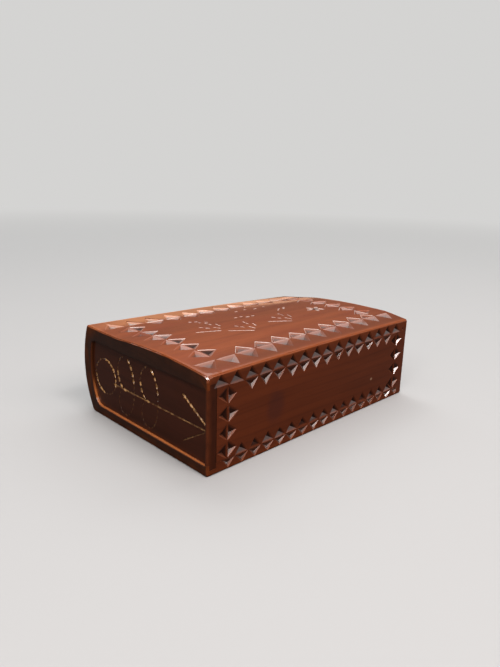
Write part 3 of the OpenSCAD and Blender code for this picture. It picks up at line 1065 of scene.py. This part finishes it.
def within(make, at, area):
    """1 within an area of the top and 0 beyond it."""
    left, right, front, back = (edge / MM for edge in area)
    inside = 1.0
    for value, low, high in ((at["X"], left, right), (at["Y"], front, back)):
        inside = make.times(ramp(make, value, low - 0.1, low + 0.1), inside)
        inside = make.times(ramp(make, value, high - 0.1, high + 0.1, 1.0, 0.0), inside)
    return inside


def end_in_wood(make, values):
    """Ends a material's tree in one shader with the given inputs."""
    shader = make.add("ShaderNodeBsdfPrincipled", values)
    make.add("ShaderNodeOutputMaterial", {"Surface": shader.outputs[0]})


def polished(make, colour, rough, grain, pores, polish):
    """Ends a wood's tree in a soft body, its grain slightly raised, under a thin clear polish."""
    height = make.math("MULTIPLY_ADD", pores, -0.5, make.times(grain, 0.5))
    bump = make.add("ShaderNodeBump", {"Height": height, "Strength": 1.0, "Distance": 0.004 * MM})
    values = {"Base Color": colour, "Roughness": rough, "Normal": bump.outputs[0]}
    end_in_wood(make, values | {"Specular IOR Level": 0.1, "Coat Weight": polish, "Coat Roughness": 0.11})


def board_tones(make, s, light):
    """An uncut board: warm on top and darker on the upright sides, partly the wood's own tone and partly
    painted light and shade; darkest on the end grain.
    """
    f = finish_tones()
    side = mixed(make, light, tinted(f.side_tone, 0.62, 0.03), tinted(f.side_tone, 1.3))
    top = mixed(make, light, tinted(f.top_tone, 0.66, 0.03), tinted(f.top_tone, 1.22))
    # The top is darker towards the fore-edge
    darker_to_front = ramp(make, s.at["Y"], -37.0, -22.0, 0.8, 0.0)
    top = mixed(make, darker_to_front, top, tinted(f.top_tone, 0.5))
    reddened = ramp(make, noise_of(make, s.place, RED_PATCHES, 3.0), -0.15, 0.5, 0.0, 0.45)
    top = mixed(make, reddened, top, rgba(f.red_tone))
    from_front = ramp(make, s.at["Y"], FORE_Y / MM + 0.5, FORE_Y / MM + 3.0, 0.6, 0.0)
    from_near = ramp(make, s.at["X"], NEAR_X / MM + 0.6, NEAR_X / MM + 4.0, 0.45, 0.0)
    top = mixed(make, make.math("MAXIMUM", from_front, from_near), top, rgba(f.margin_tone))
    end = mixed(make, light, tinted(f.end_tone, 0.7), tinted(f.end_tone, 1.35))
    # Partly painted light and shade: upward faces take the lighter top tone, upright faces the darker side
    # tone
    colour = mixed(make, ramp(make, s.facing["Z"], 0.25, 0.8), side, top)
    endwise = make.math("ABSOLUTE", s.facing["X"])
    return mixed(make, ramp(make, endwise, 0.72, 0.92), colour, end)


def wear_and_back_highlight(make, s, colour):
    """Lighter wood on the rubbed edges, and a painted highlight on the top along the spine."""
    f = finish_tones()
    rubbed = make.times(s.wear, ramp(make, s.patchy, -0.5, 0.5, 0.1, 0.55))
    colour = mixed(make, rubbed, colour, rgba(f.margin_tone))
    # Painted highlight along the spine, weaker towards the near end
    ragged = make.math("MULTIPLY_ADD", s.patchy, 1.6, s.at["Y"])
    back = ramp(make, ragged, SEAM_Y / MM - 2.2, SEAM_Y / MM + 4.0, 0.0, 0.8)
    from_near = ramp(make, s.at["X"], NEAR_X / MM, NEAR_X / MM + 22, 0.3, 1.0)
    back = make.times(back, from_near, ramp(make, s.facing["Z"], 0.5, 0.9))
    return mixed(make, back, colour, rgba(f.back_highlight_tone))


def cut_tones(make, s, colour, shaded):
    """Old wax and painted shade in the cuts: darker the deeper they go, darkest on the top's walls that look
    at the fore-edge, and painted black in the near row.
    """
    f = finish_tones()
    wax_and_shade_black = tinted(f.side_tone, 0.1)
    # Painted shade: the top's cut walls that face the fore-edge are painted darker
    top_wax_and_shade = mixed(make, s.forward, rgba(f.cut_tone), tinted(f.cut_tone, 0.25))
    wax_and_shade = mixed(make, s.on_top, wax_and_shade_black, top_wax_and_shade)
    # Dark wax and painted shade, darker the deeper the cut
    side_share = ramp(make, s.depth, 0.04, 0.5, 0.0, 0.88)
    top_share = ramp(make, s.depth, 0.1, 1.0, 0.0, 0.75)
    colour = mixed(make, mixed(make, s.on_top, side_share, top_share), colour, wax_and_shade)
    # Painted shade: the near row's inner walls that face the fore-edge are painted black
    return mixed(make, shaded, colour, wax_and_shade_black)


def painted_rim_highlights(make, s, colour):
    """Painted highlights: pale rims on the top's chips, and pale strokes in the sprays' shallow cuts, none in
    deep ones.
    """
    pale = rgba(finish_tones().rim_highlight_tone)
    rim = make.times(ramp(make, s.depth, 0.01, 0.04), ramp(make, s.depth, 0.1, 0.2, 1.0, 0.0))
    bordered = make.math("MULTIPLY_ADD", within(make, s.at, BORDER), 0.55, 0.08)
    rim = make.times(rim, make.times(s.on_top, bordered))
    # Painted highlight: the rims are paler on walls that face the fore-edge
    rim = make.times(rim, ramp(make, s.facing["Y"], -0.2, 0.05, 1.2, 0.45))
    colour = mixed(make, rim, colour, pale)
    # Painted highlight in the sprays' shallow cuts
    light = make.times(ramp(make, s.depth, 0.01, 0.05), ramp(make, s.depth, 0.45, 0.8, 0.5, 0.0))
    strokes = mixed(make, light, colour, pale)
    return mixed(make, make.times(within(make, s.at, FIELD), s.on_top), colour, strokes)


def painted_ledge_light(make, s, colour):
    """Painted light on the worn ledges round the end panels, most of it low down."""
    low = ramp(make, s.at["Z"], 8.0, 16.0, 0.9, 0.1)
    ledge = ramp(make, make.math("ABSOLUTE", s.at["X"]), LEDGE_FROM / MM, LEDGE_FROM / MM + 0.1)
    ledge = make.times(ledge, make.times(ramp(make, s.depth, 0.1, 0.4), low))
    return mixed(make, ledge, colour, rgba(finish_tones().lit_ledge_tone))


def spotted(make, s, colour, centre, reach, strength, spot_colour):
    """A ragged spot of another colour. Its centre and its reach along X, Y and Z are in mm."""
    distance = make.length(make.vector("DIVIDE", make.vector("SUBTRACT", s.place, centre), reach))
    ragged = make.math("MULTIPLY_ADD", s.patchy, 0.25, distance)
    return mixed(make, ramp(make, ragged, 0.35, 1.0, strength, 0.0), colour, rgba(spot_colour))


def old_wood(name, pith, spots=()):
    """Polished old wood, with wax and painted shade in its cuts, light wood where it is worn, and painted
    highlights on the chips' rims, along the back and on the ledges.
    """
    material, make = new_material(name)
    s = Surface(make)
    light, grain, pores = wood_figure(make, s.place, pith)
    shade_depth = ramp(make, s.depth, 0.12, 0.45, 0.0, 1.15)
    shaded = make.times(s.forward, s.on_top, within(make, s.at, NEAR_ROW), shade_depth)
    colour = board_tones(make, s, light)
    colour = wear_and_back_highlight(make, s, colour)
    colour = cut_tones(make, s, colour, shaded)
    colour = painted_rim_highlights(make, s, colour)
    colour = painted_ledge_light(make, s, colour)
    for spot in spots:
        colour = spotted(make, s, colour, *spot)
    colour = mixed(make, make.times(pores, 0.35), colour, tinted(finish_tones().side_tone, 0.3))
    rough = make.math("MULTIPLY_ADD", s.patchy, 0.06, 0.4)
    rough = make.math("MULTIPLY_ADD", pores, 0.12, rough)
    glazed = ramp(make, make.length(make.vector("SUBTRACT", s.place, CORNER)), 1.5, 4.0, 1.0, 0.0)
    polish = make.math("MAXIMUM", glazed, ramp(make, s.wear, 0.05, 0.6, 1.0, 0.12))
    polish = make.math("SUBTRACT", polish, shaded)
    polished(make, colour, rough, grain, pores, polish)
    return material


def panel_wood(name, pith, cut_colour, front_gain):
    """The end panels' dark polished wood, with lighter wood bared where a gouge went through the polish."""
    f = finish_tones()
    material, make = new_material(name)
    s = Surface(make)
    turned = make.add("ShaderNodeMapping", {"Vector": s.place, "Rotation": (0, 0, math.pi / 2)})
    light, grain, pores = wood_figure(make, turned.outputs[0], pith)
    face = mixed(make, light, tinted(f.panel_tone, 0.62), tinted(f.panel_tone, 1.4))
    front = mixed(make, light, tinted(f.side_tone, 0.65 * front_gain), tinted(f.side_tone, 1.3 * front_gain))
    colour = mixed(make, ramp(make, make.times(s.facing["Y"], -1.0), 0.3, 0.8), face, front)
    rubbed = make.times(s.wear, ramp(make, s.patchy, -0.5, 0.5, 0.05, 0.4))
    colour = mixed(make, rubbed, colour, tinted(f.top_tone, 0.8, 0.05))
    filled = ramp(make, noise_of(make, s.place, BARED_SPOTS, 2.0), -0.35, 0.3, 0.25, 1.0)
    bared = make.times(ramp(make, s.depth, 0.02, 0.5), filled)
    colour = mixed(make, bared, colour, rgba(cut_colour))
    colour = mixed(make, make.times(pores, 0.3), colour, tinted(f.panel_tone, 0.4))
    rough = make.math("MULTIPLY_ADD", s.patchy, 0.07, 0.4)
    polished(make, colour, rough, grain, pores, 1.0)
    return material


def raw_wood():
    """The bare wood inside the box and in its grooves, made once for all the boards."""
    name = "raw_inner_wood"
    if name in bpy.data.materials:
        return bpy.data.materials[name]
    bare = finish_tones().raw_tone
    material, make = new_material(name)
    light, grain, pores = wood_figure(make, place_in_mm(make), (4.0, -30.0))
    colour = mixed(make, light, tinted(bare, 0.6, 0.03), tinted(bare, 1.15))
    colour = mixed(make, make.times(pores, 0.4), colour, tinted(bare, 0.35))
    rough = make.math("MULTIPLY_ADD", grain, 0.08, 0.68)
    bump = make.add("ShaderNodeBump", {"Height": grain, "Strength": 0.6, "Distance": 0.05 * MM})
    end_in_wood(make, {"Base Color": colour, "Roughness": rough, "Normal": bump.outputs[0]})
    return material


# ---------------------------------------------------------------- operators


class BOOKBOX_OT_carve_block(bpy.types.Operator):
    """Shape the closed book as one worn solid and carve its borders"""

    bl_idname = "bookbox.carve_block"
    bl_label = "Carve Block"

    def execute(self, context):
        c = carving()
        uncut = shaped_block(shape())
        carved = copy_of(uncut, "carved_block")
        chips, gouges = chip_row_tree(), gouge_line_tree()
        edge_z = CROWN_Z - shape().crown
        lay_rows(carved, uncut, fore_edge_rows(c, edge_z), chips, BACKWARD, c.edge_depth, 11)
        lay_rows(carved, uncut, top_rows(c), chips, DOWN, c.top_depth, 31)
        decorate_top(carved, uncut, gouges)
        for tree in (chips, gouges):
            bpy.data.node_groups.remove(tree)
        return {"FINISHED"}


def hand_over(piece, body, node):
    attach(piece, body)
    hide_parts(node)


def finish_board(board, node, material):
    finish_piece(board, surface_tree(bpy.data.objects["uncut_block"]), material, inside_board)
    hand_over(board, "box", node)


class BOOKBOX_OT_covers(bpy.types.Operator):
    """Saw the top and bottom boards from the carved block"""

    bl_idname = "bookbox.covers"
    bl_label = "Covers"

    def execute(self, context):
        low = (NEAR_X - PAST, FORE_Y - PAST)
        high = (FAR_X + PAST, SEAM_Y - GLUE_GAP)
        top = sawn_board("top_board", (*low, CEILING_Z + GLUE_GAP), (*high, CROWN_Z + PAST))
        bottom = sawn_board("bottom_board", (*low, -PAST), (*high, FLOOR_Z - GLUE_GAP))
        eye = [((*ROSETTE, CROWN_Z / MM - 1.0), (2.3, 1.5, 4.0), 0.9, (0.012, 0.008, 0.006))]
        finish_board(top, "top_cover", old_wood("polished_top_wood", (2.0, -34.0), eye))
        finish_board(bottom, "bottom_cover", old_wood("polished_bottom_wood", (-8.0, -52.0)))
        return {"FINISHED"}


class BOOKBOX_OT_spine(bpy.types.Operator):
    """Saw the rounded spine from the carved block"""

    bl_idname = "bookbox.spine"
    bl_label = "Spine"

    def execute(self, context):
        low = (NEAR_X - PAST, SEAM_Y + GLUE_GAP, -PAST)
        high = (FAR_X + PAST, CREST_Y + PAST, CROWN_Z + PAST)
        board = sawn_board("spine_board", low, high)
        finish_board(board, "spine", old_wood("polished_spine_wood", (12.0, 70.0)))
        return {"FINISHED"}


class BOOKBOX_OT_fore_edge(bpy.types.Operator):
    """Saw the fore-edge wall from the carved block"""

    bl_idname = "bookbox.fore_edge"
    bl_label = "Fore-Edge"

    def execute(self, context):
        low = (WALL_LOW.x + GLUE_GAP, FORE_Y - PAST, FLOOR_Z + GLUE_GAP)
        high = (WALL_HIGH.x - GLUE_GAP, WALL_HIGH.y, CEILING_Z - GLUE_GAP)
        board = sawn_board("fore_edge_board", low, high, grooved=False)
        dark_patch = ((-27.0, -40.5, 17.0), (6.5, 6.0, 9.0), 0.35, (0.035, 0.012, 0.014))
        pale_fleck = ((34.0, -40.5, 13.2), (1.0, 2.0, 0.75), 0.8, (0.42, 0.26, 0.16))
        material = old_wood("polished_fore_edge_wood", (-4.0, -36.0), (dark_patch, pale_fleck))
        finish_board(board, "fore_edge", material)
        return {"FINISHED"}


class BOOKBOX_OT_fixed_end(bpy.types.Operator):
    """Cut the fixed end panel and let it into the far end"""

    bl_idname = "bookbox.fixed_end"
    bl_label = "Fixed End"

    def execute(self, context):
        panel = turned_to_far_end(end_panel("fixed_end_board", 0))
        material = panel_wood("polished_fixed_end_wood", (60.0, 8.0), (0.30, 0.16, 0.07), 1.0)
        finish_piece(panel, surface_tree(panel), material, inside_panel)
        hand_over(panel, "box", "fixed_end")
        return {"FINISHED"}


class BOOKBOX_OT_sliding_end(bpy.types.Operator):
    """Cut the sliding end panel and gouge the arrow into it"""

    bl_idname = "bookbox.sliding_end"
    bl_label = "Sliding End"

    def execute(self, context):
        panel = end_panel("sliding_end_board", SLIDE_GAP)
        uncut = copy_of(panel, "uncut_panel")
        carve_arrow(panel, uncut)
        material = panel_wood("polished_sliding_end_wood", (52.0, -12.0), (0.88, 0.50, 0.20), 0.42)
        finish_piece(panel, surface_tree(uncut), material, inside_panel)
        hand_over(panel, "slide", "sliding_end")
        scrap(uncut)
        return {"FINISHED"}


# ---------------------------------------------------------------- stage

CAMERA_PLACE = Vector((-171.6, -172.7, 100.2)) * MM
CAMERA_HEADING = 0.777  # clockwise from +Y, in radians
CAMERA_DIP = 0.277
CAMERA_ROLL = -0.028
FOCAL_PIXELS = 575
PICTURE_HEIGHT = 667
SENSOR = 36.0  # mm
FLOOR_RADIUS = 6.0
FLOOR_LIGHTNESS = 0.55
BACKDROP = (0.66, 0.655, 0.645, 1)
# What the room, the floor and the far floor throw on the box, dimmer than they look
ROOM_GLOW = (0.05, 0.051, 0.053, 1)
FLOOR_GLOW = (0.05, 0.049, 0.048, 1)
FAR_GLOW = (0.02, 0.02, 0.02, 1)
LAMP_DISTANCE = 1.3
WHITE = (1, 1, 1)
# The lamps: brightness, azimuth from +X and elevation in degrees, width and height in metres, colour
LAMPS = {
    "window": (1.8, (35, 50), (2.0, 0.6), WHITE),
    "back_high": (4, (74, 62), (0.5, 0.35), WHITE),
    "overhead": (2.0, (30, 80), (0.6, 0.6), WHITE),
    "back_low": (0.9, (42, 3), (1.6, 0.1), (1, 0.55, 0.33)),
    "front_window": (4.3, (-101, 45), (1.6, 0.5), (1, 0.87, 0.82)),
    "far_column_lamp": (24, (-88, 57), (0.2, 0.2), (1, 0.95, 0.95)),
    "front_corner": (6.0, (-149, 38), (0.35, 0.42), (1, 0.9, 0.87)),
    "side_wall": (1.1, (-40, 17), (0.9, 0.3), WHITE),
    "left_wall": (1.2, (178, 55), (0.8, 0.5), WHITE),
    "left_lamp": (20, (-163, 33), (0.16, 0.16), WHITE),
    "corner_lamp": (40, (-143, 56), (0.1, 0.1), WHITE),
}


def floor_material():
    """Pale to the eye, and dimmer in what it throws back at the box; far off it takes the backdrop's tone."""
    material, make = new_material("pale_floor")
    seen = make.add("ShaderNodeLightPath").outputs["Is Camera Ray"]
    pale = (FLOOR_LIGHTNESS * 0.98, FLOOR_LIGHTNESS, FLOOR_LIGHTNESS, 1)
    near = make.add("ShaderNodeBsdfDiffuse", {"Color": mixed(make, seen, FLOOR_GLOW, pale)})
    far = make.add("ShaderNodeEmission", {"Color": mixed(make, seen, FAR_GLOW, BACKDROP)})
    distance = make.length(make.add("ShaderNodeTexCoord").outputs["Object"])
    fading = {0: ramp(make, distance, 0.15, 1.3), 1: near.outputs[0], 2: far.outputs[0]}
    shader = make.add("ShaderNodeMixShader", fading)
    make.add("ShaderNodeOutputMaterial", {"Surface": shader.outputs[0]})
    return material


def direction(azimuth, elevation):
    """A direction from the box: azimuth from +X and elevation, both in degrees."""
    turn, rise = math.radians(azimuth), math.radians(elevation)
    return Vector((math.cos(turn) * math.cos(rise), math.sin(turn) * math.cos(rise), math.sin(rise)))


def hang_lamp(name, brightness, towards, extent, colour):
    """Hangs a rectangular lamp of a given brightness that faces the box."""
    data = bpy.data.lights.new(name, "AREA")
    data.shape = "RECTANGLE"
    data.size, data.size_y = extent
    data.energy = brightness * math.pi * extent[0] * extent[1]
    data.color = colour
    out = direction(*towards)
    lamp = bpy.data.objects.new(name, data)
    bpy.context.scene.collection.objects.link(lamp)
    lamp.visible_camera = False
    turn = out.to_track_quat("Z", "Y").to_matrix().to_4x4()
    lamp.matrix_world = Matrix.Translation(out * LAMP_DISTANCE) @ turn


class BOOKBOX_OT_stage(bpy.types.Operator):
    """Lay the floor, light the box and stand the camera"""

    bl_idname = "bookbox.stage"
    bl_label = "Stage"

    def execute(self, context):
        b = bmesh.new()
        bmesh.ops.create_circle(b, cap_ends=True, segments=64, radius=FLOOR_RADIUS)
        mesh = bpy.data.meshes.new("floor")
        b.to_mesh(mesh)
        b.free()
        mesh.materials.append(floor_material())
        new_object("floor", mesh)
        for name, settings in LAMPS.items():
            hang_lamp(name, *settings)
        self.light_world(context.scene)
        self.stand_camera(context.scene)
        context.scene.view_settings.view_transform = "Standard"
        return {"FINISHED"}

    def light_world(self, scene):
        world = bpy.data.worlds.new("room")
        world.use_nodes = True
        world.node_tree.nodes.clear()
        make = NodeMaker(world.node_tree)
        seen = make.add("ShaderNodeLightPath").outputs["Is Camera Ray"]
        tone = mixed(make, seen, ROOM_GLOW, BACKDROP)
        sky = make.add("ShaderNodeBackground", {"Color": tone})
        make.add("ShaderNodeOutputWorld", {"Surface": sky.outputs[0]})
        scene.world = world

    def stand_camera(self, scene):
        data = bpy.data.cameras.new("camera")
        data.sensor_width = SENSOR
        data.lens = FOCAL_PIXELS / PICTURE_HEIGHT * SENSOR
        data.clip_start = 0.01
        heading, dip = CAMERA_HEADING, CAMERA_DIP
        forward = Vector((math.sin(heading), math.cos(heading), 0)) * math.cos(dip)
        forward.z = -math.sin(dip)
        level = Vector((math.cos(heading), -math.sin(heading), 0))
        down = forward.cross(level)
        right = level * math.cos(CAMERA_ROLL) + down * math.sin(CAMERA_ROLL)
        down = down * math.cos(CAMERA_ROLL) - level * math.sin(CAMERA_ROLL)
        camera = bpy.data.objects.new("camera", data)
        scene.collection.objects.link(camera)
        turn = Matrix((right, -down, -forward)).transposed()
        camera.matrix_world = Matrix.Translation(CAMERA_PLACE) @ turn.to_4x4()
        scene.camera = camera


class BOOKBOX_PT_panel(bpy.types.Panel):
    bl_label = "Book Box"
    bl_idname = "BOOKBOX_PT_panel"
    bl_space_type = "VIEW_3D"
    bl_region_type = "UI"
    bl_category = "Book Box"

    def draw(self, context):
        scene = context.scene
        for group in (scene.book_box_shape, scene.book_box_carving, scene.book_box_finish):
            box = self.layout.box()
            for name in group.__annotations__:
                box.prop(group, name)
        for operator in OPERATORS:
            self.layout.operator(operator.bl_idname)


GROUPS = {
    "book_box_shape": BookBoxShape,
    "book_box_carving": BookBoxCarving,
    "book_box_finish": BookBoxFinish,
}
OPERATORS = (
    BOOKBOX_OT_carve_block,
    BOOKBOX_OT_covers,
    BOOKBOX_OT_spine,
    BOOKBOX_OT_fore_edge,
    BOOKBOX_OT_fixed_end,
    BOOKBOX_OT_sliding_end,
    BOOKBOX_OT_stage,
)


def register():
    for made in (*GROUPS.values(), *OPERATORS, BOOKBOX_PT_panel):
        bpy.utils.register_class(made)
    for name, group in GROUPS.items():
        setattr(bpy.types.Scene, name, bpy.props.PointerProperty(type=group))


def unregister():
    for name in GROUPS:
        delattr(bpy.types.Scene, name)
    for made in reversed((*GROUPS.values(), *OPERATORS, BOOKBOX_PT_panel)):
        bpy.utils.unregister_class(made)


def main():
    register()
    for operator in OPERATORS:
        group, name = operator.bl_idname.split(".")
        getattr(getattr(bpy.ops, group), name)()
    scrap(bpy.data.objects["carved_block"])
    scrap(bpy.data.objects["uncut_block"])


if __name__ == "__main__":
    main()
